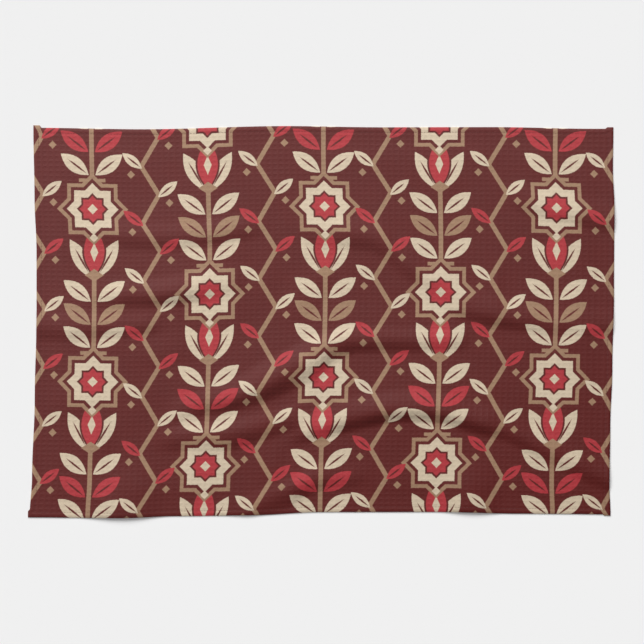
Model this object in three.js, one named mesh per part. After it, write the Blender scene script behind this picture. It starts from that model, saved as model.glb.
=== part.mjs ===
// A cotton tea towel, spread out face up on a flat surface.
// It is one length of cloth. Its four edges are turned twice to the back and sewn, so
// the hem is part of the cloth and a little thicker than it. The towel was folded for
// storage and has been opened out, so soft ridges still run across it, and its lower
// edge stands off the surface in three places.
// Millimetres. +X runs along the long side, +Y along the short side and +Z is up. The
// origin is in the middle of the underside.

import * as THREE from "three";

// Driving sizes
const LENGTH = 610;
const WIDTH = 406;
const CLOTH_THICKNESS = 1.1;
const HEM_THICKNESS = 1.6;
const HEM_WIDTH = 6.5;
const HEM_STEP = 1.5;
const COLUMNS = 40;
const ROWS = 50;

// How far each edge lies outside the straight cut line, or inside it where negative.
// The first two run from left to right, the last two from bottom to top.
const TOP_EDGE = [
  { at: -305, out: 0.4 },
  { at: -190, out: -1.2 },
  { at: -40, out: 2.2 },
  { at: 60, out: 0.9 },
  { at: 180, out: 1.1 },
  { at: 285, out: -0.7 },
  { at: 305, out: -0.6 },
];
const BOTTOM_EDGE = [
  { at: -305, out: 3.9 },
  { at: -210, out: 4.8 },
  { at: -150, out: 2.6 },
  { at: -80, out: 1.9 },
  { at: 5, out: -1.7 },
  { at: 120, out: -1.8 },
  { at: 210, out: 0 },
  { at: 255, out: 0.3 },
  { at: 305, out: 0.8 },
];
const LEFT_EDGE = [
  { at: -203, out: 4 },
  { at: -160, out: 1.4 },
  { at: -80, out: -1.4 },
  { at: 10, out: -3.4 },
  { at: 75, out: -3.3 },
  { at: 130, out: -1.2 },
  { at: 203, out: 0 },
];
const RIGHT_EDGE = [
  { at: -203, out: -2.2 },
  { at: -170, out: -3.4 },
  { at: -110, out: -2.4 },
  { at: -50, out: -0.3 },
  { at: 30, out: 1.4 },
  { at: 120, out: 1.9 },
  { at: 160, out: 0.3 },
  { at: 203, out: 0.8 },
];

// At each corner the turned hem of one edge ends past the edge that it meets.
const HEM_ENDS = [
  { corner: "top left", x: -1, y: 1, alongX: 0, alongY: 2.6 },
  { corner: "top right", x: 1, y: 1, alongX: 0, alongY: 1.6 },
  { corner: "bottom left", x: -1, y: -1, alongX: -1.8, alongY: 0 },
  { corner: "bottom right", x: 1, y: -1, alongX: 0, alongY: -1.3 },
];

// The soft ridges, each as the points of its crest from left to right. A ridge has two
// slopes: the upper one faces +Y and the lower one faces -Y. One that starts or ends
// with a height runs off the edge of the cloth there.
const CREST_COLUMNS = ["x", "y", "height", "upper", "lower"];
const RIDGES = {
  upperLeft: [
    [-272, 97, 0, 16, 16],
    [-240, 94, 1.6, 17, 17],
    [-200, 90, 2.6, 17, 17],
    [-160, 89, 2.9, 17, 17],
    [-120, 92, 3, 19, 15],
    [-87, 97, 2, 16, 15],
    [-50, 104, 0, 16, 14],
  ],
  left: [
    [-268, 29, 0, 19, 16],
    [-235, 28.5, 1.7, 20, 16],
    [-200, 29, 3.6, 19, 16.5],
    [-160, 30, 5.2, 19, 17],
    [-130, 36, 4.1, 21, 18],
    [-105, 40, 2.2, 22, 18],
    [-72, 44, 0, 22, 16],
  ],
  leftEdge: [
    [-330, -2, 2.6, 20, 19],
    [-270, -6, 2.7, 19, 18],
    [-225, -5, 2.6, 15, 15],
    [-190, -4, 2.2, 14, 14],
    [-162, 0, 0, 14, 14],
  ],
  upperMiddle: [
    [-35, 98, 0, 18, 16],
    [0, 94, 1.8, 18, 21],
    [28, 92, 3.3, 20, 19],
    [58, 88, 3.4, 20, 19],
    [82, 68, 2.3, 20, 18],
    [104, 51, 2.5, 17, 15],
    [126, 39, 2, 15, 15],
    [146, 28, 0, 16, 14],
  ],
  upperRight: [
    [185, 138, 0, 18, 16],
    [224, 124, 2.6, 20, 16],
    [260, 115.5, 3, 22, 16],
    [288, 110, 2.8, 22, 17],
    [330, 102, 2.2, 21, 16],
  ],
  right: [
    [120, 26, 0, 22, 14],
    [145, 16, 2.5, 26, 16],
    [181, 7, 4, 24, 16],
    [205, 3, 3.5, 21, 15.5],
    [240, -1, 2, 20, 16],
    [330, -4, 1.9, 19, 14],
  ],
  middle: [
    [-170, -99, 0, 16, 14],
    [-146, -91, 2, 14, 16],
    [-126, -86, 3.5, 18, 15.5],
    [-95, -80, 5, 22, 16.5],
    [-60, -65, 6.4, 25, 20.5],
    [-30, -49, 6.8, 23, 23],
    [-6, -35, 6.4, 20, 25],
    [14, -23, 5.1, 16, 20],
    [40, -19.5, 4, 15.5, 15.5],
    [100, -20, 2.9, 14.5, 15],
    [138, -19, 2.4, 13, 14.5],
    [158, -18, 0, 15, 14],
  ],
  lowerLeft: [
    [-185, -126, 0, 14, 14],
    [-146, -121, 2.8, 13, 19],
    [-105, -119, 4, 15, 21.5],
    [-70, -112, 3.7, 16, 18],
    [-40, -103, 2.9, 15, 17],
    [-5, -92, 0, 16, 14],
  ],
  lowerRight: [
    [-45, -122, 0, 20, 16],
    [-6, -111, 4.1, 21, 16.5],
    [30, -101, 5.4, 23, 16.5],
    [60, -95, 6.1, 22, 16],
    [82, -92, 6.2, 22, 16],
    [126, -95, 6, 22, 16],
    [165, -106, 5.1, 20, 15.5],
    [192, -113, 3.4, 22, 15],
    [225, -129, 2.8, 18, 15.5],
    [250, -141, 2.7, 17, 16],
    [280, -157, 2.8, 18, 15.5],
    [330, -176, 2.8, 18, 15.5],
  ],
  bottom: [
    [-100, -208, 0, 18, 14],
    [-66, -191, 2.4, 15, 15],
    [-35, -178, 3.5, 14, 19],
    [-8, -166, 3.4, 17, 15.5],
    [25, -163, 1.5, 15, 14],
    [60, -160, 0, 16, 14],
  ],
};

// This share of a ridge's height eases out over a longer upper slope.
const TAIL = 0.4;
const TAIL_REACH = 3;

// Where the lower edge stands off the surface. The cloth rolls over towards the edge, so
// a lift is highest a little inside it and droops by a share of its height.
const LIFTS = [
  { at: -208, height: 4.3, halfWidth: 48, reach: 70 },
  { at: -87, height: 0.7, halfWidth: 26, reach: 40 },
  { at: 158, height: 3.7, halfWidth: 36, reach: 65 },
];
const ROLL = 9;
const DROOP = 0.3;

const ease = (t) => {
  const clamped = Math.min(Math.max(t, 0), 1);
  return clamped * clamped * (3 - 2 * clamped);
};

// A soft hump, 1 in the middle and flat at 0 from a distance of 1 on.
const hump = (t) => (Math.abs(t) < 1 ? (1 - t * t) ** 2 : 0);

const mix = (a, b, t) => a + (b - a) * t;

// The edge's offset at a place along it, eased from row to row.
function edgeOut(rows, at) {
  const next = rows.findIndex((row) => row.at >= at);
  if (next < 1) return rows[next === 0 ? 0 : rows.length - 1].out;
  const [a, b] = [rows[next - 1], rows[next]];
  return mix(a.out, b.out, ease((at - a.at) / (b.at - a.at)));
}

// How much a hem end moves a point at this distance from the edge: all of it within
// the hem, and nothing past the hem's step.
const withinHem = (distance) => 1 - ease((distance - HEM_WIDTH) / HEM_STEP);

// The place on the surface of the point that was cut at u, v.
function laidOut(u, v) {
  const left = -edgeOut(LEFT_EDGE, v);
  const right = edgeOut(RIGHT_EDGE, v);
  const bottom = -edgeOut(BOTTOM_EDGE, u);
  const top = edgeOut(TOP_EDGE, u);
  let x = u + mix(left, right, u / LENGTH + 0.5);
  let y = v + mix(bottom, top, v / WIDTH + 0.5);
  for (const end of HEM_ENDS) {
    const fromSide = LENGTH / 2 - end.x * u;
    const fromEnd = WIDTH / 2 - end.y * v;
    const share = withinHem(fromSide) * withinHem(fromEnd);
    x += end.alongX * share;
    y += end.alongY * share;
  }
  return { x, y };
}

// The ridges with each crest point as { x, y, height, upper, lower }.
const crests = Object.values(RIDGES).map((rows) =>
  rows.map((row) => Object.fromEntries(CREST_COLUMNS.map((column, i) => [column, row[i]]))),
);

// The crest's slope at one of its points, from the points on either side.
function slopeAt(crest, i) {
  const before = crest[Math.max(i - 1, 0)];
  const after = crest[Math.min(i + 1, crest.length - 1)];
  return (after.y - before.y) / (after.x - before.x);
}

function ridgeHeight(crest, x, y) {
  const next = crest.findIndex((point) => point.x > x);
  if (next < 1) return 0;
  const [a, b] = [crest[next - 1], crest[next]];
  const run = b.x - a.x;
  const t = (x - a.x) / run;
  const [slopeA, slopeB] = [slopeAt(crest, next - 1), slopeAt(crest, next)];
  const crestY =
    mix(a.y, b.y, ease(t)) + run * t * (1 - t) * (slopeA * (1 - t) - slopeB * t);
  const across = (y - crestY) / Math.hypot(1, mix(slopeA, slopeB, t));
  const side = across > 0 ? "upper" : "lower";
  const reach = mix(a[side], b[side], ease(t));
  const tailReach = across > 0 ? reach * TAIL_REACH : reach;
  const profile = mix(hump(across / reach), hump(across / tailReach), TAIL);
  return mix(a.height, b.height, ease(t)) * profile;
}

function liftHeight(lift, u, v) {
  const fromEdge = v + WIDTH / 2;
  const along = hump((u - lift.at) / lift.halfWidth);
  const fall = 1 - ease((fromEdge - ROLL) / (lift.reach - ROLL));
  const rolled = 1 - DROOP * (1 - Math.min(fromEdge / ROLL, 1)) ** 2;
  return lift.height * along * fall * rolled;
}

// How far the underside stands off the surface.
function standOff(u, v, x, y) {
  const ridges = crests.map((crest) => ridgeHeight(crest, x, y));
  const lifts = LIFTS.map((lift) => liftHeight(lift, u, v));
  return [...ridges, ...lifts].reduce((sum, height) => sum + height, 0);
}

function thicknessAt(u, v) {
  const fromEdge = Math.min(LENGTH / 2 - Math.abs(u), WIDTH / 2 - Math.abs(v));
  return mix(CLOTH_THICKNESS, HEM_THICKNESS, withinHem(fromEdge));
}

// Grid lines across one side of the cloth: the edge, the hem's inner line and the foot
// of its step at each end, and even steps between.
function gridLines(size, steps) {
  const hem = [0, HEM_WIDTH, HEM_WIDTH + HEM_STEP];
  const inner = size - 2 * (HEM_WIDTH + HEM_STEP);
  const lines = hem.map((line) => line - size / 2);
  for (let i = 1; i < steps; i++) lines.push((i / steps - 0.5) * inner);
  return [...lines, ...hem.reverse().map((line) => size / 2 - line)];
}

// The towel as one closed solid: an underside, a face above it and a rim round them.
function towelGeometry() {
  const us = gridLines(LENGTH, COLUMNS);
  const vs = gridLines(WIDTH, ROWS);
  const positions = [];
  for (const isFace of [false, true]) {
    for (const v of vs) {
      for (const u of us) {
        const { x, y } = laidOut(u, v);
        const z = standOff(u, v, x, y) + (isFace ? thicknessAt(u, v) : 0);
        positions.push(x, y, z);
      }
    }
  }

  const across = us.length;
  const layer = across * vs.length;
  const under = (i, j) => j * across + i;
  const triangles = [];
  const quad = (a, b, c, d) => triangles.push(a, b, c, a, c, d);
  const heightGap = (a, b) => Math.abs(positions[3 * a + 2] - positions[3 * b + 2]);
  for (let j = 0; j + 1 < vs.length; j++) {
    for (let i = 0; i + 1 < across; i++) {
      const corners = [under(i, j), under(i + 1, j), under(i + 1, j + 1), under(i, j + 1)];
      // The cell is split along its more level diagonal, so a slanting ridge stays smooth.
      if (heightGap(corners[1], corners[3]) < heightGap(corners[0], corners[2])) {
        corners.push(corners.shift());
      }
      const [a, b, c, d] = corners;
      quad(a, d, c, b);
      quad(a + layer, b + layer, c + layer, d + layer);
    }
  }
  const rim = (a, b) => quad(a, b, b + layer, a + layer);
  const [lastI, lastJ] = [across - 1, vs.length - 1];
  for (let i = 0; i < lastI; i++) {
    rim(under(i, 0), under(i + 1, 0));
    rim(under(i + 1, lastJ), under(i, lastJ));
  }
  for (let j = 0; j < lastJ; j++) {
    rim(under(lastI, j), under(lastI, j + 1));
    rim(under(0, j + 1), under(0, j));
  }

  const geometry = new THREE.BufferGeometry();
  geometry.setAttribute("position", new THREE.Float32BufferAttribute(positions, 3));
  geometry.setIndex(triangles);
  geometry.computeBoundingBox();
  const middle = geometry.boundingBox.getCenter(new THREE.Vector3());
  geometry.translate(-middle.x, -middle.y, 0);
  geometry.computeVertexNormals();
  return geometry;
}

const printedCotton = new THREE.MeshStandardMaterial({
  name: "printed cotton",
  color: 0x653532,
  roughness: 0.9,
  metalness: 0,
});

const towel = new THREE.Mesh(towelGeometry(), printedCotton);
towel.name = "towel";

const teaTowel = new THREE.Group();
teaTowel.add(towel);

export default teaTowel;
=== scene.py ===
# %% [markdown]
# A printed tea towel, spread out
#
# The real thing is one piece of waffle-weave cotton, printed on its face, with its four edges turned
# twice to the back and stitched down. It lies face up on a pale surface. It was folded for storage,
# so soft ridges still run across it, and its lower edge stands off the surface in three places.
#
# The lesson builds it in the order in which it is seen: the cloth's outline, its ridges, its hem and
# weave, then the stitches, the finishes and the light. All lengths are in metres, and MM turns the
# millimetres of a maker's drawing into them.

# %% Load the frame
import math

import bpy
import numpy as np
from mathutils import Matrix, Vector, noise


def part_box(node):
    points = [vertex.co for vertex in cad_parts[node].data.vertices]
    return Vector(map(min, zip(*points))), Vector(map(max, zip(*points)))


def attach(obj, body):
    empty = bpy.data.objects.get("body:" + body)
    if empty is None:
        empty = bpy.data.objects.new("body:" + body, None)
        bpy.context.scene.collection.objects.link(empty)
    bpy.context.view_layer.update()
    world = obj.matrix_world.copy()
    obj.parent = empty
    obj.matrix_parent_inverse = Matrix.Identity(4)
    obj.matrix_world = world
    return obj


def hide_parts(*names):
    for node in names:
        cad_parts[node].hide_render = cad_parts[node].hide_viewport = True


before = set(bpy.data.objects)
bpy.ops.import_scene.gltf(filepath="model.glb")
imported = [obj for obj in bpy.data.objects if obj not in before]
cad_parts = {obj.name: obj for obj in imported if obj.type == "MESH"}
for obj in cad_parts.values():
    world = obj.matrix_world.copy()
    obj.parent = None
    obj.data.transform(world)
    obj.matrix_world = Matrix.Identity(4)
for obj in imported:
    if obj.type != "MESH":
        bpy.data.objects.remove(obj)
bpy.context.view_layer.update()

MM = 0.001

solid_low, solid_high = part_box("towel")
print("solid towel:", [round(size / MM, 1) for size in solid_high - solid_low], "mm")

# %% [markdown]
# The camera
#
# The towel is seen from straight above, with its long side across the picture and no perspective to
# speak of. A long lens from far away does that. A wide lens close by would show the ridges' far sides
# and bend the outline, and an orthographic camera would have no distance at which to stand when the
# towel is looked at from elsewhere. The view is as wide as the photo is at the towel's real size.

# %% Place the camera
VIEW_WIDTH = 678.4 * MM
VIEW_CENTRE = Vector((0.9, -0.25, 0)) * MM
LENS = 200
SENSOR = 36

camera_data = bpy.data.cameras.new("long lens")
camera_data.lens = LENS
camera_data.sensor_width = SENSOR
camera = bpy.data.objects.new("camera above", camera_data)
bpy.context.collection.objects.link(camera)
camera.location = VIEW_CENTRE + Vector((0, 0, VIEW_WIDTH * LENS / SENSOR))
bpy.context.scene.camera = camera
print("camera", round(camera.location.z, 2), "m above the towel")

# %% [markdown]
# The cut and its four edges
#
# The cloth was cut to a straight rectangle and hemmed, and then washing and folding pulled its edges
# in and out by a few millimetres. Each edge is a short table of how far it lies outside the straight
# cut line, read from left to right or from bottom to top. A point of the cloth moves by its share of
# the two edges that it lies between, so the whole sheet stretches smoothly and the print moves with
# it. Moving only the outermost points by hand would crumple the hem.

# %% Give the cloth its outline
LENGTH = 610 * MM
WIDTH = 406 * MM
HEM = 6.5 * MM

EDGES = {
    "top": [(-305, 0.4), (-190, -1.2), (-40, 2.2), (60, 0.9), (180, 1.1), (285, -0.7), (305, -0.6)],
    "bottom": [
        (-305, 3.9), (-210, 4.8), (-150, 2.6), (-80, 1.9), (5, -1.7), (120, -1.8),
        (210, 0), (255, 0.3), (305, 0.8),
    ],
    "left": [(-203, 4), (-160, 1.4), (-80, -1.4), (10, -3.4), (75, -3.3), (130, -1.2), (203, 0)],
    "right": [
        (-203, -2.2), (-170, -3.4), (-110, -2.4), (-50, -0.3), (30, 1.4), (120, 1.9),
        (160, 0.3), (203, 0.8),
    ],
}

# At each corner the turned hem of one edge ends past the edge that it meets: which corner it is,
# and how far it sticks out along x and y.
HEM_ENDS = [((-1, 1), (0, 2.6)), ((1, 1), (0, 1.6)), ((-1, -1), (-1.8, 0)), ((1, -1), (0, -1.3))]
HEM_END_STEP = 1.5 * MM


def ease(t):
    """0 below 0, 1 above 1, and a soft rise between."""
    t = np.clip(t, 0, 1)
    return t * t * (3 - 2 * t)


def edge_out(name, at):
    """How far an edge lies outside its cut line, eased from row to row."""
    places, outs = np.array(EDGES[name]).T * MM
    after = np.clip(np.searchsorted(places, at), 1, len(places) - 1)
    share = ease((at - places[after - 1]) / (places[after] - places[after - 1]))
    return outs[after - 1] + (outs[after] - outs[after - 1]) * share


def laid_out(u, v):
    """Where the point that was cut at u, v lies on the surface."""
    left, right = -edge_out("left", v), edge_out("right", v)
    bottom, top = -edge_out("bottom", u), edge_out("top", u)
    x = u + left + (right - left) * (u / LENGTH + 0.5)
    y = v + bottom + (top - bottom) * (v / WIDTH + 0.5)
    for (side, end), (along_x, along_y) in HEM_ENDS:
        from_side = LENGTH / 2 - side * u
        from_end = WIDTH / 2 - end * v
        share = (1 - ease((from_side - HEM) / HEM_END_STEP)) * (1 - ease((from_end - HEM) / HEM_END_STEP))
        x = x + along_x * MM * share
        y = y + along_y * MM * share
    return x, y


def from_edge(u, v):
    """How far inside the nearest edge a point was cut."""
    return np.minimum(LENGTH / 2 - np.abs(u), WIDTH / 2 - np.abs(v))


# %% [markdown]
# The ridges
#
# Cloth that was folded keeps a memory of it: rounded ridges, a few millimetres high, steeper on the
# side that faces the bottom of the picture. Each ridge is a crest, a row of points from left to right
# with the height there and how wide its upper and lower slopes are, and its profile is a soft hump.
# On the upper side part of the height runs out further, as in slack cloth. The last three are only
# faint patches and a crease. A cloth simulation would settle ridges where it likes. These are the
# ones in the photo, so they are given one by one, and the soft hump does what the cloth's own
# stiffness does.

# %% List the ridges
# A crest has a row for each of its points, in mm.
CREST_COLUMNS = ("x", "y", "height", "upper", "lower")
RIDGES = {
    "upper left": [
        (-272, 97, 0, 16, 16), (-240, 94, 1.6, 17, 17), (-200, 90, 2.6, 17, 17),
        (-160, 89, 2.9, 17, 17), (-120, 92, 3, 19, 15), (-87, 97, 2, 16, 15), (-50, 104, 0, 16, 14),
    ],
    "left": [
        (-268, 29, 0, 19, 16), (-235, 28.5, 1.7, 20, 16), (-200, 29, 3.6, 19, 16.5),
        (-160, 30, 5.2, 19, 17), (-130, 36, 4.1, 21, 18), (-105, 40, 2.2, 22, 18), (-72, 44, 0, 22, 16),
    ],
    "left edge": [
        (-330, -2, 2.6, 20, 19), (-270, -6, 2.7, 19, 18), (-225, -5, 2.6, 15, 15),
        (-190, -4, 2.2, 14, 14), (-162, 0, 0, 14, 14),
    ],
    "upper middle": [
        (-35, 98, 0, 18, 16), (0, 94, 1.8, 18, 21), (28, 92, 3.3, 20, 19), (58, 88, 3.4, 20, 19),
        (82, 68, 2.3, 20, 18), (104, 51, 2.5, 17, 15), (126, 39, 2, 15, 15), (146, 28, 0, 16, 14),
    ],
    "upper right": [
        (185, 138, 0, 18, 16), (224, 124, 2.6, 20, 16), (260, 115.5, 3, 22, 16),
        (288, 110, 2.8, 22, 17), (330, 102, 2.2, 21, 16),
    ],
    "right": [
        (120, 26, 0, 22, 14), (145, 16, 2.5, 26, 16), (181, 7, 4, 24, 16), (205, 3, 3.5, 21, 15.5),
        (240, -1, 2, 20, 16), (330, -4, 1.9, 19, 14),
    ],
    "middle": [
        (-170, -99, 0, 16, 14), (-146, -91, 2, 14, 16), (-126, -86, 3.5, 18, 15.5),
        (-95, -80, 5, 22, 16.5), (-60, -65, 6.4, 25, 20.5), (-30, -49, 6.8, 23, 23),
        (-6, -35, 6.4, 20, 25), (14, -23, 5.1, 16, 20), (40, -19.5, 4, 15.5, 15.5),
        (100, -20, 2.9, 14.5, 15), (138, -19, 2.4, 13, 14.5), (158, -18, 0, 15, 14),
    ],
    "lower left": [
        (-185, -126, 0, 14, 14), (-146, -121, 2.8, 13, 19), (-105, -119, 4, 15, 21.5),
        (-70, -112, 3.7, 16, 18), (-40, -103, 2.9, 15, 17), (-5, -92, 0, 16, 14),
    ],
    "lower right": [
        (-45, -122, 0, 20, 16), (-6, -111, 4.1, 21, 16.5), (30, -101, 5.4, 23, 16.5),
        (60, -95, 6.1, 22, 16), (82, -92, 6.2, 22, 16), (126, -95, 6, 22, 16), (165, -106, 5.1, 20, 15.5),
        (192, -113, 3.4, 22, 15), (225, -129, 2.8, 18, 15.5), (250, -141, 2.7, 17, 16),
        (280, -157, 2.8, 18, 15.5), (330, -176, 2.8, 18, 15.5),
    ],
    "bottom": [
        (-100, -208, 0, 18, 14), (-66, -191, 2.4, 15, 15), (-35, -178, 3.5, 14, 19),
        (-8, -166, 3.4, 17, 15.5), (25, -163, 1.5, 15, 14), (60, -160, 0, 16, 14),
    ],
    "patch at the left": [(-310, -88, 0, 24, 20), (-259, -84, 1, 26, 22), (-205, -80, 0, 24, 20)],
    "patch near the left": [(-214, -34, 0, 22, 20), (-166, -32, 1, 24, 20), (-122, -30, 0, 22, 20)],
    "crease by the corner": [(-246, -186, 0, 9, 7), (-228, -190, 0.7, 10, 8), (-208, -196, 0, 9, 7)],
}
print(len(RIDGES), "ridges and patches run across the cloth")

# %% List the fainter ones that run up the cloth
# They are read from bottom to top, so their rows give y first, and their upper and lower slopes are
# those on the right and on the left.
UPRIGHT = {
    "beside the corner": [(-170, -233, 0, 14, 30), (-128, -234, 1.2, 14, 30), (-86, -232, 0, 14, 30)],
    "under the lower left": [(-188, -52, 0, 16, 24), (-152, -53, 1.3, 16, 26), (-116, -52, 0, 16, 24)],
    "above the middle": [(-12, -36, 0, 17, 34), (28, -13, 1.2, 18, 36), (70, 6, 0, 17, 34)],
    "fine line": [(12, 184, 0, 6, 8), (42, 184.5, 0.5, 6, 8), (74, 184, 0, 6, 8)],
}
print(len(UPRIGHT), "faint ones run up it")

# %% Turn a row of crest points into a height
# This share of a ridge's height eases out over an upper slope this many times as wide.
TAIL = 0.4
TAIL_REACH = 3


def hump(t):
    """1 in the middle, and flat at 0 from a distance of 1 on."""
    return np.where(np.abs(t) < 1, (1 - t * t) ** 2, 0)


def ridge_height(rows, x, y, tail):
    """How high a ridge stands over each point. The tail is the share of its height that eases out far."""
    crest = dict(zip(CREST_COLUMNS, np.array(rows, float).T * MM))
    count = len(rows)
    before, after = np.maximum(np.arange(count) - 1, 0), np.minimum(np.arange(count) + 1, count - 1)
    slope = (crest["y"][after] - crest["y"][before]) / (crest["x"][after] - crest["x"][before])
    b = np.clip(np.searchsorted(crest["x"], x), 1, count - 1)
    a = b - 1
    run = crest["x"][b] - crest["x"][a]
    t = (x - crest["x"][a]) / run
    soft = ease(t)
    along = {name: values[a] + (values[b] - values[a]) * soft for name, values in crest.items()}
    bend = run * t * (1 - t) * (slope[a] * (1 - t) - slope[b] * t)
    slant = slope[a] + (slope[b] - slope[a]) * np.clip(t, 0, 1)
    across = (y - along["y"] - bend) / np.hypot(1, slant)
    reach = np.where(across > 0, along["upper"], along["lower"])
    far_reach = np.where(across > 0, reach * TAIL_REACH, reach)
    profile = (1 - tail) * hump(across / reach) + tail * hump(across / far_reach)
    on_crest = (x > crest["x"][0]) & (x < crest["x"][-1])
    return np.where(on_crest, along["height"] * profile, 0)


# %% [markdown]
# The lifted lower edge and the slack of the cloth
#
# In three places the lower edge curls up off the surface and throws the only shadows that the towel
# has. Each is a hump along the edge that dies out into the cloth. Between ridges a washed cloth is
# never a plane, so slow random swells, about a millimetre high, are added all over. They die out
# towards the hem, which is heavier and lies flat. They are drawn from a fixed noise, so each run gives
# the same cloth.

# %% Lift the edge and let the cloth lie slack
# The lifts are in mm. The cloth rolls over at its edge: a lift is highest this far inside the edge,
# and at the edge it has lost this share of its height.
ROLL = 9
DROOP = 0.3
LIFTS = [
    {"at": -208, "height": 4.3, "half_width": 48, "reach": 70},
    {"at": -87, "height": 0.7, "half_width": 26, "reach": 40},
    {"at": 158, "height": 3.7, "half_width": 36, "reach": 65},
]
SWELLS = [{"height": 1.2 * MM, "length": 70 * MM}, {"height": 0.6 * MM, "length": 30 * MM}]
# The swells rise from nothing at the edge to their full height this far inside it.
SWELL_RUN_IN = 35 * MM


def lift_height(lift, u, v):
    """A hump along the edge. The cloth rolls over towards the edge, so it is highest a little inside."""
    from_lower = (v + WIDTH / 2) / MM
    along = hump((u / MM - lift["at"]) / lift["half_width"])
    fall = 1 - ease((from_lower - ROLL) / (lift["reach"] - ROLL))
    rolled = 1 - DROOP * (1 - np.clip(from_lower / ROLL, 0, 1)) ** 2
    return lift["height"] * MM * along * fall * rolled


def swell(wave, x, y):
    """A slow swell of the cloth, from 0 up."""
    waves = [noise.noise(Vector((a, b, 0)) / wave["length"]) for a, b in zip(x, y)]
    return wave["height"] * (0.5 + 0.5 * np.array(waves))


def stand_off(u, v, x, y):
    """How far the cloth's underside stands off the surface."""
    ridges = sum(ridge_height(rows, x, y, TAIL) for rows in RIDGES.values())
    upright = sum(ridge_height(rows, y, x, 0) for rows in UPRIGHT.values())
    lifts = sum(lift_height(lift, u, v) for lift in LIFTS)
    swells = sum(swell(wave, x, y) for wave in SWELLS)
    return ridges + upright + lifts + swells * ease(from_edge(u, v) / SWELL_RUN_IN)


# %% [markdown]
# The hem and the waffle weave
#
# The edge is turned twice, so the hem is three layers where the cloth is one. They are pressed flat,
# and measure 1.6 mm against the 1.1 mm of the loose waffle. Seen across, the hem has a round folded
# edge, a flat band, a groove where the stitches pull it down, and a step to the single cloth, which
# stands a little off the surface before it settles.
#
# A waffle weave is a net of raised threads round small sunken cells, the same on both sides. Its cells
# are 6.4 by 5.2 mm. A grid with a line on each rib and one in the middle of each cell draws them with
# the fewest faces: where both lines are mid-cell the cloth is thin, and on a rib it is full.

# %% Set out the hem
CLOTH = 1.1 * MM
HEM_THICKNESS = 1.6 * MM
EDGE_ROUND = 2.4 * MM
# At the very edge the hem keeps the square root of this share of its thickness.
RIM_SHARE = 0.1
STITCH_LINE = 5.4 * MM
GROOVE_DEPTH = 0.2 * MM
GROOVE_WIDTH = 0.9 * MM
# Past the hem the single cloth rises off the surface over the run and settles over the reach.
STEP_RISE = 0.25 * MM
STEP_RUN = 2 * MM
STEP_REACH = 9 * MM
# The grid's lines in the hem, by how far inside the edge they lie.
HEM_LINES = np.array([0, 0.3, 0.8, 1.5, 2.4, 4.2, 5.4, 6.4, 8.5]) * MM
print("hem", round(HEM / MM, 1), "mm wide and", round(HEM_THICKNESS / MM, 1), "mm thick")

# %% Set out the weave
WEAVE_STARTS = 8.5 * MM
WEAVE_RUN_IN = 2 * MM
# The ribs' spacing in the photo. The cells are then fitted to a whole number of them.
RIBS_ACROSS = 6.4 * MM
RIBS_UP = 5.2 * MM
CELL_DEPTH = 0.15 * MM
CELLS_ACROSS = round((LENGTH - 2 * WEAVE_STARTS) / RIBS_ACROSS)
CELLS_UP = round((WIDTH - 2 * WEAVE_STARTS) / RIBS_UP)
CELL_WIDTH = (LENGTH - 2 * WEAVE_STARTS) / CELLS_ACROSS
CELL_HEIGHT = (WIDTH - 2 * WEAVE_STARTS) / CELLS_UP
print("waffle cells:", CELLS_ACROSS, "by", CELLS_UP)


def grid_lines(size, cells):
    """The grid's lines across one side: the hem's lines at each end, and two for each cell between."""
    first, last = WEAVE_STARTS - size / 2, size / 2 - WEAVE_STARTS
    weave = np.linspace(first, last, 2 * cells + 1)
    return np.concatenate([HEM_LINES[:-1] - size / 2, weave, size / 2 - HEM_LINES[-2::-1]])


# %% Work out the cloth's thickness
def sunk(u, v):
    """1 in the middle of a waffle cell, 0 on its ribs and in the hem."""
    across = np.sin(math.pi * (u + LENGTH / 2 - WEAVE_STARTS) / CELL_WIDTH) ** 2
    up = np.sin(math.pi * (v + WIDTH / 2 - WEAVE_STARTS) / CELL_HEIGHT) ** 2
    return across * up * ease((from_edge(u, v) - WEAVE_STARTS) / WEAVE_RUN_IN)


def layers(u, v):
    """Heights of the underside and of the face over the cloth's stand-off."""
    edge = from_edge(u, v)
    in_hem = 1 - ease((edge - STITCH_LINE) / (WEAVE_STARTS - STITCH_LINE))
    thick = CLOTH + (HEM_THICKNESS - CLOTH) * in_hem
    groove = GROOVE_DEPTH * np.exp(-(((edge - STITCH_LINE) / GROOVE_WIDTH) ** 2))
    past_hem = edge - HEM
    tented = STEP_RISE * ease(past_hem / STEP_RUN) * (1 - ease((past_hem - STEP_RUN) / STEP_REACH))
    pit = CELL_DEPTH * sunk(u, v)
    under, over = tented + pit, tented + thick - groove - pit
    middle = (under + over) / 2
    inside = np.clip(edge / EDGE_ROUND, 0, 1)
    round_off = np.sqrt(np.clip(1 - (1 - inside) ** 2, RIM_SHARE, 1))
    return middle + (under - middle) * round_off, middle + (over - middle) * round_off


# %% [markdown]
# The sheet
#
# The sheet starts as a flat grid with a line for each rib. Solidify gives it its back and rim, so it
# is one closed skin, and then each point of the face and of the back is moved to its place. The edges
# of this grid are the threads of the cloth, so the print and the weave follow the stretch.

# %% Make the towel
columns = grid_lines(LENGTH, CELLS_ACROSS)
rows = grid_lines(WIDTH, CELLS_UP)
bpy.ops.object.select_all(action="DESELECT")
bpy.ops.mesh.primitive_grid_add(x_subdivisions=len(columns) - 1, y_subdivisions=len(rows) - 1, size=1)
towel = bpy.context.object
towel.name = "towel_cloth"
modifier = towel.modifiers.new("back and rim", "SOLIDIFY")
modifier.thickness = CLOTH
modifier.offset = -1
bpy.ops.object.modifier_apply(modifier=modifier.name)

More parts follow.
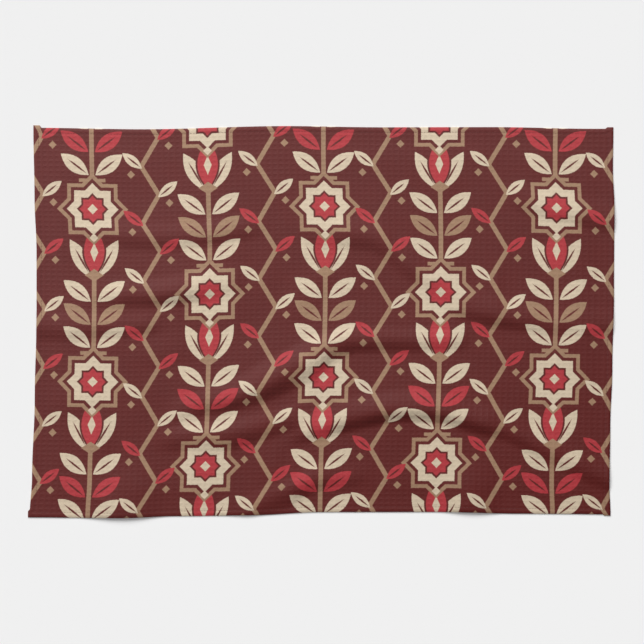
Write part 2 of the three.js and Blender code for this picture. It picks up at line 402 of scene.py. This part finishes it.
points = np.zeros(len(towel.data.vertices) * 3)
towel.data.vertices.foreach_get("co", points)
points = points.reshape(-1, 3)
is_face = points[:, 2] > -CLOTH / 2
cut_u = columns[np.rint((points[:, 0] + 0.5) * (len(columns) - 1)).astype(int)]
cut_v = rows[np.rint((points[:, 1] + 0.5) * (len(rows) - 1)).astype(int)]


def surface(u, v):
    """The place of the cloth's underside and face where it was cut at u, v."""
    x, y = laid_out(u, v)
    base = stand_off(u, v, x, y)
    under, over = layers(u, v)
    return x, y, base + under, base + over


x, y, under, over = surface(cut_u, cut_v)
to_middle = (solid_low + solid_high) / 2 - Vector(((x.min() + x.max()) / 2, (y.min() + y.max()) / 2, 0))
points = np.stack([x + to_middle.x, y + to_middle.y, np.where(is_face, over, under)], 1)
towel.data.vertices.foreach_set("co", points.ravel())
towel.data.update()
towel.data.polygons.foreach_set("use_smooth", [True] * len(towel.data.polygons))
print("grid lines:", len(columns), "by", len(rows))
print("towel", len(towel.data.polygons), "faces,", round(points[:, 2].max() / MM, 1), "mm high")

# %% [markdown]
# The cloth's own map
#
# A print is laid on the flat cloth before it is hemmed, so it has to follow the cut and not the
# towel's place in the room. The map gives each point its place in the flat cut, from 0 to 1. The back
# of the hem is the printed side too, folded over, so there the map runs on past the edge, mirrored.

# %% Map the flat cut and sort the faces by side
loop_vertices = np.zeros(len(towel.data.loops), int)
towel.data.loops.foreach_get("vertex_index", loop_vertices)
loop_faces = np.repeat(
    np.arange(len(towel.data.polygons)), [polygon.loop_total for polygon in towel.data.polygons]
)
corners = np.stack([cut_u, cut_v], 1)[loop_vertices]
half = np.array([LENGTH, WIDTH]) / 2
corner_count = np.bincount(loop_faces)
face_middle = np.stack([np.bincount(loop_faces, corners[:, i]) / corner_count for i in (0, 1)], 1)
face_share = np.bincount(loop_faces, is_face[loop_vertices]) / corner_count
to_edges = half - np.abs(face_middle)
is_back = face_share == 0
folded_over = is_back & (to_edges.min(1) < HEM)

past = np.sign(corners) * half * 2 - corners
nearest = to_edges.argmin(1)[loop_faces]
over_edge = folded_over[loop_faces]
for axis in (0, 1):
    mirrored = over_edge & (nearest == axis)
    corners[mirrored, axis] = past[mirrored, axis]
cloth_map = towel.data.uv_layers.new(name="cloth")
cloth_map.data.foreach_set("uv", (corners / (2 * half) + 0.5).ravel())
shows_back = (is_back & ~folded_over).astype(np.int32)
towel.data.polygons.foreach_set("material_index", shows_back)
print("faces that show the plain back:", int(shows_back.sum()))

# %% [markdown]
# The stitches
#
# The hem is held by one row of lock stitches all round, 3 mm long, which look alike on both sides. A
# stitch is a small round of thread, pulled down at both ends. One is modelled with few faces, because
# there are hundreds, and is then set along the groove on the face and on the back.

# %% Model one stitch
STITCH = 3.0 * MM
THREAD = 0.34 * MM
# A stitch shows for this share of its length. The rest is down in the needle's holes.
STITCH_SHARE = 0.86

bpy.ops.object.select_all(action="DESELECT")
bpy.ops.mesh.primitive_uv_sphere_add(segments=6, ring_count=5, radius=0.5)
stitches = bpy.context.object
stitches.name = "hem_stitches"
bpy.ops.object.mode_set(mode="EDIT")
bpy.ops.mesh.select_all(action="SELECT")
bpy.ops.transform.rotate(value=math.pi / 2, orient_axis="Y", center_override=(0, 0, 0))
bpy.ops.transform.resize(value=(STITCH * STITCH_SHARE, THREAD, THREAD))
bpy.ops.object.mode_set(mode="OBJECT")
one = np.array([vertex.co for vertex in stitches.data.vertices])


def from_lowest(corners):
    """A face's corners in the same turn, from the one with the lowest number on."""
    first = corners.index(min(corners))
    return corners[first:] + corners[:first]


# A new sphere has the same points each time, but lists its faces in any order, so they are sorted.
one_faces = sorted(from_lowest(list(polygon.vertices)) for polygon in stitches.data.polygons)
print("one stitch has", len(one_faces), "faces")

# %% Space the stitches round the hem
side_u = LENGTH / 2 - STITCH_LINE
side_v = WIDTH / 2 - STITCH_LINE
starts, ends = [], []
for corner, next_corner in [((-1, -1), (1, -1)), ((1, -1), (1, 1)), ((1, 1), (-1, 1)), ((-1, 1), (-1, -1))]:
    first = np.array(corner) * (side_u, side_v)
    last = np.array(next_corner) * (side_u, side_v)
    count = round(float(np.linalg.norm(last - first)) / STITCH)
    steps = np.linspace(0, 1, count + 1)[:, None]
    line = first + (last - first) * steps
    starts.append(line[:-1])
    ends.append(line[1:])
starts, ends = np.concatenate(starts), np.concatenate(ends)
print("stitches on each side:", len(starts))

# %% Sew them on the face and on the back
def sewn(on_face):
    """The stitches' points on one side of the cloth, a row for each stitch."""
    ends_at = []
    for place in (starts, ends):
        x, y, under, over = surface(place[:, 0], place[:, 1])
        ends_at.append(np.stack([x + to_middle.x, y + to_middle.y, over if on_face else under], 1))
    middle, along = (ends_at[0] + ends_at[1]) / 2, ends_at[1] - ends_at[0]
    along /= np.linalg.norm(along, axis=1)[:, None]
    up = np.array([0, 0, 1.0])
    side = np.cross(up, along)
    out = np.cross(along, side)
    axes = np.stack([along, side, out], 1)
    return middle[:, None] + np.einsum("ki,nij->nkj", one, axes)


sewn_points = np.concatenate([sewn(True), sewn(False)])
# On the back they are pressed flat where they meet the surface below.
sewn_points[len(starts):, :, 2] = np.maximum(sewn_points[len(starts):, :, 2], 0)
sewn_faces = [
    [corner + len(one) * i for corner in face] for i in range(len(sewn_points)) for face in one_faces
]
stitch_mesh = bpy.data.meshes.new("hem_stitches")
stitch_mesh.from_pydata(sewn_points.reshape(-1, 3), [], sewn_faces)
stitch_mesh.polygons.foreach_set("use_smooth", [True] * len(stitch_mesh.polygons))
stitches.data = stitch_mesh
print("stitches", len(sewn_points), "with", len(stitch_mesh.polygons), "faces")

# %% [markdown]
# Building finishes from nodes
#
# Each finish is a small network of nodes. One function adds a node with its settings and its inputs
# and hands back an output, so that a network reads like a sum. Colours are written as they are seen
# on a screen and turned to linear light by another.

# %% Two helpers for the finishes
def add(tree, kind, inputs=(), out=0, **settings):
    """Adds a node, gives it its settings and its inputs, linked or set, and hands back an output."""
    node = tree.nodes.new("ShaderNode" + kind)
    for name, value in settings.items():
        setattr(node, name, value)
    for socket, value in inputs.items() if isinstance(inputs, dict) else enumerate(inputs):
        if isinstance(value, bpy.types.NodeSocket):
            tree.links.new(value, node.inputs[socket])
        else:
            node.inputs[socket].default_value = value
    return node.outputs[out] if node.outputs else node


def linear(hex_code):
    """A colour as it is seen on a screen, in linear light."""
    channels = [int(hex_code[i : i + 2], 16) / 255 for i in (1, 3, 5)]
    return [c / 12.92 if c <= 0.04045 else ((c + 0.055) / 1.055) ** 2.4 for c in channels] + [1]


# %% [markdown]
# The print's motifs
#
# The print is a common folk kind: upright stems with pairs of leaves, a tulip on top, eight-pointed
# stars between, and a zigzag vine down the gaps. Each motif is a formula that says how far a point of
# the flat cloth lies outside the motif's outline, in millimetres, and less than nothing inside it. A
# soft step turns that into a mask, and a mix lays that ink over what is there.

# %% Formulas for leaf and bar
def placed(tree, at, centre, turn, size=(1, 1)):
    """Coordinates in a motif's own frame, in mm or as shares of its half length and half width."""
    place = {0: at, 1: (*centre, 0), 2: (0, 0, math.radians(turn)), 3: (*size, 1)}
    return add(tree, "Mapping", place, vector_type="TEXTURE")


def leaf(tree, at, centre, turn, size):
    """An almond shape with two points. Its shares of length squared and of width add up to 1."""
    own = placed(tree, at, centre, turn, size)
    long = add(tree, "SeparateXYZ", [own])
    wide = add(tree, "SeparateXYZ", [own], out=1)
    wide = add(tree, "Math", [wide], operation="ABSOLUTE")
    shares = add(tree, "Math", [long, long, wide], operation="MULTIPLY_ADD")
    return add(tree, "Math", [shares, size[1], -size[1]], operation="MULTIPLY_ADD")


def bar(tree, at, centre, turn, size):
    """A straight bar with square ends."""
    own = add(tree, "VectorMath", [placed(tree, at, centre, turn)], operation="ABSOLUTE")
    past = add(tree, "VectorMath", [own, (*size, 0)], operation="SUBTRACT")
    past_end = add(tree, "SeparateXYZ", [past])
    past_side = add(tree, "SeparateXYZ", [past], out=1)
    return add(tree, "Math", [past_end, past_side], operation="MAXIMUM")


# %% Formulas for diamond and star
def diamond(tree, at, centre, turn, size):
    """A diamond. Its shares of length and of width add up to 1."""
    own = add(tree, "VectorMath", [placed(tree, at, centre, turn, size)], operation="ABSOLUTE")
    shares = add(tree, "VectorMath", [own, (1, 1, 0)], out=1, operation="DOT_PRODUCT")
    to_side = math.prod(size) / math.hypot(*size)
    return add(tree, "Math", [shares, to_side, -to_side], operation="MULTIPLY_ADD")


def star(tree, at, radius):
    """An eight-pointed star: a square and a diamond laid over each other."""
    across = add(tree, "SeparateXYZ", [at])
    up = add(tree, "SeparateXYZ", [at], out=1)
    square = add(tree, "Math", [across, up], operation="MAXIMUM")
    both = add(tree, "Math", [across, up], operation="ADD")
    tilted = add(tree, "Math", [both, math.sqrt(2)], operation="DIVIDE")
    rays = add(tree, "Math", [square, tilted], operation="MINIMUM")
    return add(tree, "Math", [rays, radius], operation="SUBTRACT")


# %% Lay an ink over what is there
# An ink's edge is this many mm wide, from full ink to none.
INK_EDGE = 0.55


def inked(tree, under, ink, outside, only=None):
    """The colour under it with ink laid over it, up to where outside is 0."""
    mask = add(tree, "MapRange", [outside, INK_EDGE / 2, -INK_EDGE / 2, 0, 1])
    if only is not None:
        mask = add(tree, "Math", [mask, only], operation="MULTIPLY")
    return add(tree, "Mix", {0: mask, 6: under, 7: ink}, out=2, data_type="RGBA")


# %% [markdown]
# The inks and the repeat
#
# The face is flooded with a maroon ground, and three inks lie on it. Stems stand in columns 122 mm
# apart, and every other column is moved up by half of the 180 mm repeat. The inks are laid in the
# order in which they cover each other, so each motif takes the colour that is there and hands back
# the colour with its own inks on it.

# %% Choose the inks and the repeat
GROUND = linear("#5F1F1C")
CREAM = linear("#D0BEA5")
TAN = linear("#9D7C62")
RED = linear("#AD363C")
# All sizes of the print are in mm. The last is how far the print is moved down on the cloth.
COLUMN = 122
REPEAT = 180
PRINT_START = 38
print("columns", COLUMN, "mm apart, with a repeat of", REPEAT, "mm")

# %% [markdown]
# The stem and its leaves
#
# A stem is a bar with three pairs of leaves, and a leaf is an almond shape with a thin midrib. Six
# leaves could be drawn, but one is enough: a remainder brings each pair back to the first, and the
# coordinates are folded at the stem, so the leaf on the right is also the one on the left. The
# number of the pair picks its ink.

# %% Draw the stem with its leaves
# The pairs' spacing, where the lowest one begins below the stem's middle, and the leaves' turn.
LEAF_PITCH = 24
LEAF_START = -56
LEAF_TURN = 37


def stem_with_leaves(tree, colour, stem, other):
    """A stem with three pairs of leaves. The middle pair is red on one stem and tan on the next."""
    colour = inked(tree, colour, TAN, bar(tree, stem, centre=(0, -19), turn=90, size=(43, 2.4)))
    from_stem = add(tree, "SeparateXYZ", [stem])
    from_middle = add(tree, "SeparateXYZ", [stem], out=1)
    pair_up = add(tree, "Math", [from_middle, LEAF_START], operation="SUBTRACT")
    pair = add(tree, "Math", [pair_up, LEAF_PITCH], operation="DIVIDE")
    pair = add(tree, "Math", [pair], operation="FLOOR")
    # Pairs 0, 1 and 2 lie within 1.5 of pair 1, and only pair 1 itself lies within 0.5 of it.
    on_stem = add(tree, "Math", [pair, 1, 1.5], operation="COMPARE")
    middle_pair = add(tree, "Math", [pair, 1, 0.5], operation="COMPARE")
    in_pair = add(tree, "Math", [pair_up, LEAF_PITCH], operation="FLOORED_MODULO")
    in_pair = add(tree, "Math", [in_pair, LEAF_PITCH / 2], operation="SUBTRACT")
    leaves = add(tree, "CombineXYZ", [from_stem, in_pair])
    accent = add(tree, "Mix", {0: other, 6: RED, 7: TAN}, out=2, data_type="RGBA")
    ink = add(tree, "Mix", {0: middle_pair, 6: CREAM, 7: accent}, out=2, data_type="RGBA")
    blade = leaf(tree, leaves, centre=(18, 0.4), turn=LEAF_TURN, size=(18, 7.8))
    midrib = leaf(tree, leaves, centre=(15.5, -1.5), turn=LEAF_TURN, size=(12, 1))
    colour = inked(tree, colour, ink, blade, only=on_stem)
    return inked(tree, colour, GROUND, midrib, only=on_stem)


# %% [markdown]
# The tulip
#
# The flower is laid down as a printer would, from the lowest ink to the one on top: two cream leaves
# with their midribs, a rim of ground round the red flower, a cream heart, and the tan cup that joins
# it to the stem. A crossbar marks the stem's foot. The same fold at the stem draws both leaves.

# %% Draw the tulip
# A row gives the ink, the shape, its centre, its turn in degrees, and its half length and half width.
TULIP = [
    (CREAM, leaf, (14, 38), 60, (23, 8.2)),
    (GROUND, leaf, (13, 36), 60, (14, 1)),
    (GROUND, leaf, (0, 46), 90, (28, 12.8)),
    (RED, leaf, (0, 46), 90, (25.5, 10.8)),
    (CREAM, diamond, (0, 45), 90, (10, 4.2)),
    (TAN, diamond, (0, 21), 90, (6.5, 10)),
    (TAN, bar, (0, -60), 0, (14, 1.9)),
]


def tulip(tree, colour, stem):
    """A red tulip between two cream leaves, and a crossbar at the foot of the stem."""
    for ink, shape, centre, turn, size in TULIP:
        colour = inked(tree, colour, ink, shape(tree, stem, centre, turn, size))
    return colour


# %% [markdown]
# The ringed star
#
# Between two stems lies an eight-pointed star, as on much old folk embroidery. Its rings are one
# formula with smaller and smaller radii, which keeps their outlines an even distance apart. Scaled
# copies of one drawn star would crowd them at the inner corners.

# %% Draw the ringed star
STAR_RINGS = [(TAN, 26.5), (GROUND, 22.6), (CREAM, 19.2), (GROUND, 11.8), (RED, 9.8)]


def ringed_star(tree, colour, stem):
    """The star between two stems, in rings of ink from the outermost to the middle."""
    from_stem = add(tree, "SeparateXYZ", [stem])
    from_middle = add(tree, "SeparateXYZ", [stem], out=1)
    away = add(tree, "Math", [from_middle], operation="ABSOLUTE")
    to_star = add(tree, "Math", [REPEAT / 2, away], operation="SUBTRACT")
    place = add(tree, "CombineXYZ", [from_stem, to_star])
    for ink, radius in STAR_RINGS:
        colour = inked(tree, colour, ink, star(tree, place, radius))
    heart = diamond(tree, place, centre=(0, 0), turn=0, size=(5.4, 5.4))
    colour = inked(tree, colour, CREAM, heart)
    drop = diamond(tree, stem, centre=(0, 60), turn=0, size=(4.6, 4.6))
    return inked(tree, colour, CREAM, drop)


# %% [markdown]
# The vine
#
# A thin zigzag runs down each gap between two columns, with a leaf and a small diamond at each bend.
# Only one bend is drawn. For the next one the coordinates are flipped from side to side, so the vine
# is a single formula however long the cloth is.

# %% Draw the vine
# The length of one bend up the cloth, how far it swings to the side, and how wide the vine is.
VINE_HALF = 30
VINE_SWING = 9
VINE_WIDTH = 4.8


def vine(tree, colour, across, up):
    """A zigzag vine down the gap, with a leaf and a small diamond on the outside of each bend."""
    bend = add(tree, "Math", [up, VINE_HALF], operation="DIVIDE")
    bend = add(tree, "Math", [bend], operation="FLOOR")
    in_bend = add(tree, "Math", [up, VINE_HALF], operation="FLOORED_MODULO")
    in_bend = add(tree, "Math", [in_bend, VINE_HALF / 2], operation="SUBTRACT")
    leans_left = add(tree, "Math", [bend, 2], operation="FLOORED_MODULO")
    lean = add(tree, "Math", [leans_left, -2, 1], operation="MULTIPLY_ADD")
    from_gap = add(tree, "Math", [across, COLUMN / 2, -COLUMN / 2], operation="WRAP")
    sideways = add(tree, "Math", [from_gap, lean], operation="MULTIPLY")
    fall = VINE_SWING / (VINE_HALF / 2)
    zigzag = add(tree, "Math", [in_bend], operation="ABSOLUTE")
    zigzag = add(tree, "Math", [zigzag, -fall, VINE_SWING], operation="MULTIPLY_ADD")
    off_vine = add(tree, "Math", [sideways, zigzag], operation="SUBTRACT")
    off_vine = add(tree, "Math", [off_vine], operation="ABSOLUTE")
    off_vine = add(tree, "Math", [off_vine, math.hypot(1, fall)], operation="DIVIDE")
    outside = add(tree, "Math", [off_vine, VINE_WIDTH / 2], operation="SUBTRACT")
    colour = inked(tree, colour, TAN, outside)
    # The leaves change from cream to red and back after every second bend.
    twig = add(tree, "CombineXYZ", [sideways, in_bend])
    turn = add(tree, "Math", [bend, 0.5], operation="MULTIPLY")
    turn = add(tree, "Math", [turn], operation="FLOOR")
    turn = add(tree, "Math", [turn, 2], operation="FLOORED_MODULO")
    ink = add(tree, "Mix", {0: turn, 6: CREAM, 7: RED}, out=2, data_type="RGBA")
    colour = inked(tree, colour, ink, leaf(tree, twig, centre=(18.5, 5.8), turn=38, size=(13, 5.2)))
    colour = inked(tree, colour, GROUND, leaf(tree, twig, centre=(17, 4.7), turn=38, size=(8.5, 0.9)))
    return inked(tree, colour, TAN, diamond(tree, twig, centre=(20, -8.5), turn=0, size=(4.2, 4.2)))


# %% [markdown]
# The whole print
#
# A printer sets the same screen down again and again. Folding the coordinates does that here: the
# distance from the nearest stem serves both sides of it at once, and a remainder brings each repeat
# back to the first. Every other stem gets the other accent ink.

# %% Repeat the motifs over the cloth
def folk_print(tree, flat):
    """The print's colour at each point of the flat cloth, in mm."""
    across = add(tree, "SeparateXYZ", [flat])
    up = add(tree, "SeparateXYZ", [flat], out=1)
    column = add(tree, "Math", [across, COLUMN], operation="DIVIDE")
    column = add(tree, "Math", [column], operation="FLOOR")
    odd = add(tree, "Math", [column, 2], operation="FLOORED_MODULO")
    raised = add(tree, "Math", [odd, REPEAT / 2, up], operation="MULTIPLY_ADD")
    repeat = add(tree, "Math", [raised, REPEAT], operation="DIVIDE")
    repeat = add(tree, "Math", [repeat], operation="FLOOR")
    other = add(tree, "Math", [repeat, column], operation="ADD")
    other = add(tree, "Math", [other, 2], operation="FLOORED_MODULO")
    from_stem = add(tree, "Math", [across, COLUMN / 2], operation="ADD")
    from_stem = add(tree, "Math", [from_stem, COLUMN / 2], operation="PINGPONG")
    from_middle = add(tree, "Math", [raised, REPEAT], operation="FLOORED_MODULO")
    from_middle = add(tree, "Math", [from_middle, REPEAT / 2], operation="SUBTRACT")
    stem = add(tree, "CombineXYZ", [from_stem, from_middle])
    colour = stem_with_leaves(tree, GROUND, stem, other)
    colour = tulip(tree, colour, stem)
    colour = ringed_star(tree, colour, stem)
    return vine(tree, colour, across, up)


# %% [markdown]
# The printed face: waffle-weave cotton, screen printed
#
# Printed cotton is matt: its fibres scatter the light and only leave a faint haze. The ink bleeds by
# about half a thread at its outlines and is uneven by a few per cent. Painted shade makes it a little
# darker down in the cells and lighter on the ribs, and painted light makes it lighter towards the upper
# left and deeper towards the lower right, with a faint painted sheen that is strongest at the upper
# left. The bump draws what the mesh is too coarse for: the round ribs of the weave, and threads, which
# are drawn 0.8 mm apart, about twice their real spacing, because finer ones would only show as grain.

# %% Draw the weave that both sides share
# The spacing is in mm, the fuzz's scale is per mm, and the reliefs are shares of the ribs' height.
THREAD_PITCH = 0.8
THREAD_RELIEF = 0.12
FUZZ_SCALE = 0.7
FUZZ_RELIEF = 1.2


def flat_place(tree):
    """The place in the flat cut, in mm."""
    at = add(tree, "UVMap", uv_map="cloth")
    scale = (LENGTH / MM, WIDTH / MM, 1)
    return add(tree, "Mapping", {0: at, 3: scale})


def weave_height(tree, flat):
    """The height of the ribs, 0 in a cell and 1 on a rib, and the same with threads and fuzz on it."""
    start = -WEAVE_STARTS / MM
    turns = (math.pi * MM / CELL_WIDTH, math.pi * MM / CELL_HEIGHT, 0)
    from_rib = add(tree, "VectorMath", [flat, (start, start, 0)], operation="ADD")
    phase = add(tree, "VectorMath", [from_rib, turns], operation="MULTIPLY")
    wave = add(tree, "VectorMath", [phase], operation="SINE")
    wave = add(tree, "VectorMath", [wave], operation="ABSOLUTE")
    across = add(tree, "SeparateXYZ", [wave])
    up = add(tree, "SeparateXYZ", [wave], out=1)
    pit = add(tree, "Math", [across, up], operation="MULTIPLY")
    ribs = add(tree, "Math", [1, pit], operation="SUBTRACT")
    threads = add(tree, "VectorMath", [flat, (2 * math.pi / THREAD_PITCH,) * 3], operation="MULTIPLY")
    threads = add(tree, "VectorMath", [threads], operation="SINE")
    warp = add(tree, "SeparateXYZ", [threads])
    weft = add(tree, "SeparateXYZ", [threads], out=1)
    crossings = add(tree, "Math", [warp, weft], operation="MULTIPLY")
    threaded = add(tree, "Math", [crossings, THREAD_RELIEF, ribs], operation="MULTIPLY_ADD")
    fuzz = add(tree, "TexNoise", {"Vector": flat, "Scale": FUZZ_SCALE, "Detail": 3})
    return ribs, add(tree, "Math", [fuzz, FUZZ_RELIEF, threaded], operation="MULTIPLY_ADD")


def finish(name):
    """A new material, and its tree with nothing in it yet."""
    material = bpy.data.materials.new(name)
    material.use_nodes = True
    material.node_tree.nodes.clear()
    return material, material.node_tree


# %% Lay the print on the face
# How far the ink bleeds, in mm, and how fine its bleeding is, per mm.
BLEED = 0.5
BLEED_SCALE = 0.9

printed, tree = finish("screen-printed waffle cotton")
flat = flat_place(tree)
ribs, weave = weave_height(tree, flat)
bleed = add(tree, "TexNoise", {"Vector": flat, "Scale": BLEED_SCALE, "Detail": 2}, out=1)
bleed = add(tree, "VectorMath", [bleed, (-0.5, -0.5, -0.5)], operation="ADD")
bleed = add(tree, "VectorMath", {0: bleed, "Scale": 2 * BLEED}, operation="SCALE")
moved = add(tree, "VectorMath", [flat, bleed], operation="ADD")
moved = add(tree, "VectorMath", [moved, (0, PRINT_START, 0)], operation="ADD")
colour = folk_print(tree, moved)

# %% Shade the inks
# The ink's painted shade in a cell and on a rib, the ends of its mottling, and how fine that is, per mm.
INK_CELL_SHADE = (0.975, 1.012)
MOTTLE = (0.96, 1.04)
MOTTLE_SCALE = 0.035
# Most of a noise texture's values lie between these two.
NOISE_ENDS = (0.3, 0.7)
# The painted light falloff runs from 1 at the upper left corner to -1 at the lower right one. Where
# it is 1, the ink is painted lighter by the first share and has a painted sheen of the second over it.
PAINTED_LIGHT = 0.125
PAINTED_SHEEN = 0.01
PAINTED_FALLOFF_ALONG = (-0.75 * MM / LENGTH, 1.25 * MM / WIDTH, 0)
PAINTED_FALLOFF_MIDDLE = 0.25

# Painted shade of the weave: the ink is a little darker down in the cells and lighter on the ribs.
cell_shade = add(tree, "MapRange", [ribs, 0, 1, *INK_CELL_SHADE])
mottle = {"Vector": flat, "Scale": MOTTLE_SCALE, "Detail": 6, "Roughness": 0.65}
mottle = add(tree, "TexNoise", mottle)
mottle = add(tree, "MapRange", [mottle, *NOISE_ENDS, *MOTTLE])
painted_falloff = add(tree, "VectorMath", [flat, PAINTED_FALLOFF_ALONG], out=1, operation="DOT_PRODUCT")
painted_falloff = add(tree, "Math", [painted_falloff, PAINTED_FALLOFF_MIDDLE], operation="SUBTRACT")
# Painted light: the ink is lighter towards the upper left and darker towards the lower right. Painted shade
# in the cells and the random mottle multiply it too.
light = add(tree, "Math", [painted_falloff, PAINTED_LIGHT, 1], operation="MULTIPLY_ADD")
light = add(tree, "Math", [light, cell_shade], operation="MULTIPLY")
light = add(tree, "Math", [light, mottle], operation="MULTIPLY")
# A painted sheen: a faint haze added towards the upper left and taken off towards the lower right.
painted_sheen = add(tree, "Math", [painted_falloff, PAINTED_SHEEN], operation="MULTIPLY")
colour = add(tree, "VectorMath", [colour, light, painted_sheen], operation="MULTIPLY_ADD")

# %% Finish the printed face
WEAVE_BUMP = 0.2 * MM
PRINTED_ROUGHNESS = (0.58, 0.64)

rough = add(tree, "MapRange", [mottle, *MOTTLE, *PRINTED_ROUGHNESS])
grain = add(tree, "Bump", {"Strength": 1, "Distance": WEAVE_BUMP, "Height": weave})
skin = {"Base Color": colour, "Roughness": rough, "Normal": grain, "IOR": 1.54, "Specular IOR Level": 0.27}
skin |= {"Sheen Weight": 0.06, "Sheen Roughness": 0.5}
surface_shader = add(tree, "BsdfPrincipled", skin)
add(tree, "OutputMaterial", [surface_shader])
print(printed.name + ":", len(tree.nodes), "nodes")

# %% [markdown]
# The back: the same cotton, unprinted
#
# The ink doesn't go through to the back. It is the cloth's own off-white, with a pale ghost of the
# print where the ink soaked deepest.

# %% Make the back's finish
OFF_WHITE = linear("#E6DFD2")
GHOST = 0.1
# Painted shade of the back's weave: it is a little darker in its cells and lighter on its ribs.
BACK_CELL_SHADE = (0.92, 1.02)

plain, tree = finish("unprinted waffle cotton")
flat = flat_place(tree)
ribs, weave = weave_height(tree, flat)
shifted = add(tree, "VectorMath", [flat, (0, PRINT_START, 0)], operation="ADD")
ghost = folk_print(tree, shifted)
colour = add(tree, "Mix", {0: GHOST, 6: OFF_WHITE, 7: ghost}, out=2, data_type="RGBA")
cell_shade = add(tree, "MapRange", [ribs, 0, 1, *BACK_CELL_SHADE])
colour = add(tree, "VectorMath", [colour, cell_shade], operation="MULTIPLY")
grain = add(tree, "Bump", {"Strength": 1, "Distance": WEAVE_BUMP, "Height": weave})
skin = {"Base Color": colour, "Roughness": 0.9, "Normal": grain, "Specular IOR Level": 0.25}
skin |= {"Sheen Weight": 0.08, "Sheen Roughness": 0.5}
surface_shader = add(tree, "BsdfPrincipled", skin)
add(tree, "OutputMaterial", [surface_shader])
print(plain.name + ":", len(tree.nodes), "nodes")

towel.data.materials.append(printed)
towel.data.materials.append(plain)

# %% [markdown]
# The thread: spun polyester in the ground's colour
#
# Hems are sewn with a thread that matches the ground, so the seam hardly shows. Its twist is drawn as
# slanted bands, a little darker and deeper between the plies, and it has a little more gloss than
# the cotton.

# %% Make the thread's finish
THREAD_COLOUR = linear("#5C2B29")
THREAD_SHADES = (0.85, 1.1)
TWIST_PITCH = 0.45 * MM
TWIST_RELIEF = 0.05 * MM
# A wave texture's diagonal bands turn through this many radians in one unit of length.
WAVE_RADIANS = 10

sewing_thread, tree = finish("spun polyester thread")
at = add(tree, "TexCoord", out=3)
bands = {"Vector": at, "Scale": 2 * math.pi / (WAVE_RADIANS * TWIST_PITCH), "Distortion": 1}
twist = add(tree, "TexWave", bands, bands_direction="DIAGONAL")
# Painted shade: the bands are darker where the bump is low, between the plies.
shade = add(tree, "MapRange", [twist, 0, 1, *THREAD_SHADES])
colour = add(tree, "VectorMath", [THREAD_COLOUR[:3], shade], operation="MULTIPLY")
grain = add(tree, "Bump", {"Strength": 0.6, "Distance": TWIST_RELIEF, "Height": twist})
skin = {"Base Color": colour, "Roughness": 0.6, "Normal": grain, "Specular IOR Level": 0.4}
surface_shader = add(tree, "BsdfPrincipled", skin)
add(tree, "OutputMaterial", [surface_shader])
stitches.data.materials.append(sewing_thread)
print(sewing_thread.name + ":", len(tree.nodes), "nodes")

# %% [markdown]
# The surface under it
#
# The towel lies on plain pale paper that is lit evenly, from its own side too, as on a light table.
# That keeps it one tone and lets only a soft shadow show under the lifted edge. It is a wide sheet
# just under the towel, and it isn't part of the object.

# %% Lay the pale surface
FLOOR_SIZE = 12
FLOOR_GAP = 0.05 * MM
PALE_GLOW = 0.1
PALE_PAPER = 0.771

bpy.ops.object.select_all(action="DESELECT")
bpy.ops.mesh.primitive_plane_add(size=FLOOR_SIZE, location=(0, 0, -FLOOR_GAP))
floor = bpy.context.object
floor.name = "pale_surface"
paper, tree = finish("pale paper on a light table")
skin = {"Base Color": (PALE_PAPER,) * 3 + (1,), "Roughness": 1, "Specular IOR Level": 0}
skin |= {"Emission Color": (1, 1, 1, 1), "Emission Strength": PALE_GLOW}
surface_shader = add(tree, "BsdfPrincipled", skin)
add(tree, "OutputMaterial", [surface_shader])
floor.data.materials.append(paper)
print("pale surface", FLOOR_SIZE, "m wide")

# %% [markdown]
# The light
#
# Two large soft lights light it, as on a copy stand. One hangs straight overhead and lights the cloth
# evenly. The other comes from the top, a little from the left, and low enough that the slopes that
# face it glow and the ones behind the crests fall dark. That is what draws the ridges. A faint light
# comes from all around. A sun with a wide disc is such a light, and it is as strong on one side of the
# towel as on the other. Each light's share is what it gives to a level surface, and they add up to 1.

# %% Light it
LIGHTS = {
    "soft light overhead": {"share": 0.2, "elevation": 90, "bearing": 0, "softness": 60},
    "soft light from the top": {"share": 0.72, "elevation": 42, "bearing": 115, "softness": 40},
}
ROOM_SHARE = 0.08
BACKDROP = linear("#F0F0F0")

for name, light in LIGHTS.items():
    lamp = bpy.data.lights.new(name, "SUN")
    lamp.energy = light["share"] * math.pi / math.sin(math.radians(light["elevation"]))
    lamp.angle = math.radians(light["softness"])
    holder = bpy.data.objects.new(name, lamp)
    holder.rotation_euler = (0, math.radians(90 - light["elevation"]), math.radians(light["bearing"]))
    bpy.context.collection.objects.link(holder)
    print(name, round(lamp.energy, 2), "W per square metre")

world = bpy.data.worlds.new("even surroundings")
world.use_nodes = True
tree = world.node_tree
tree.nodes.clear()
seen = add(tree, "Background", [BACKDROP, 1])
lights = add(tree, "Background", [(1, 1, 1, 1), ROOM_SHARE])
is_seen = add(tree, "LightPath")
both = add(tree, "MixShader", [is_seen, lights, seen])
add(tree, "OutputWorld", [both])
bpy.context.scene.world = world
bpy.context.scene.view_settings.view_transform = "Standard"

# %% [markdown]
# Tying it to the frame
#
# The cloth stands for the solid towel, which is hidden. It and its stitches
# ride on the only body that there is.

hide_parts("towel")
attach(towel, "root")
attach(stitches, "root")
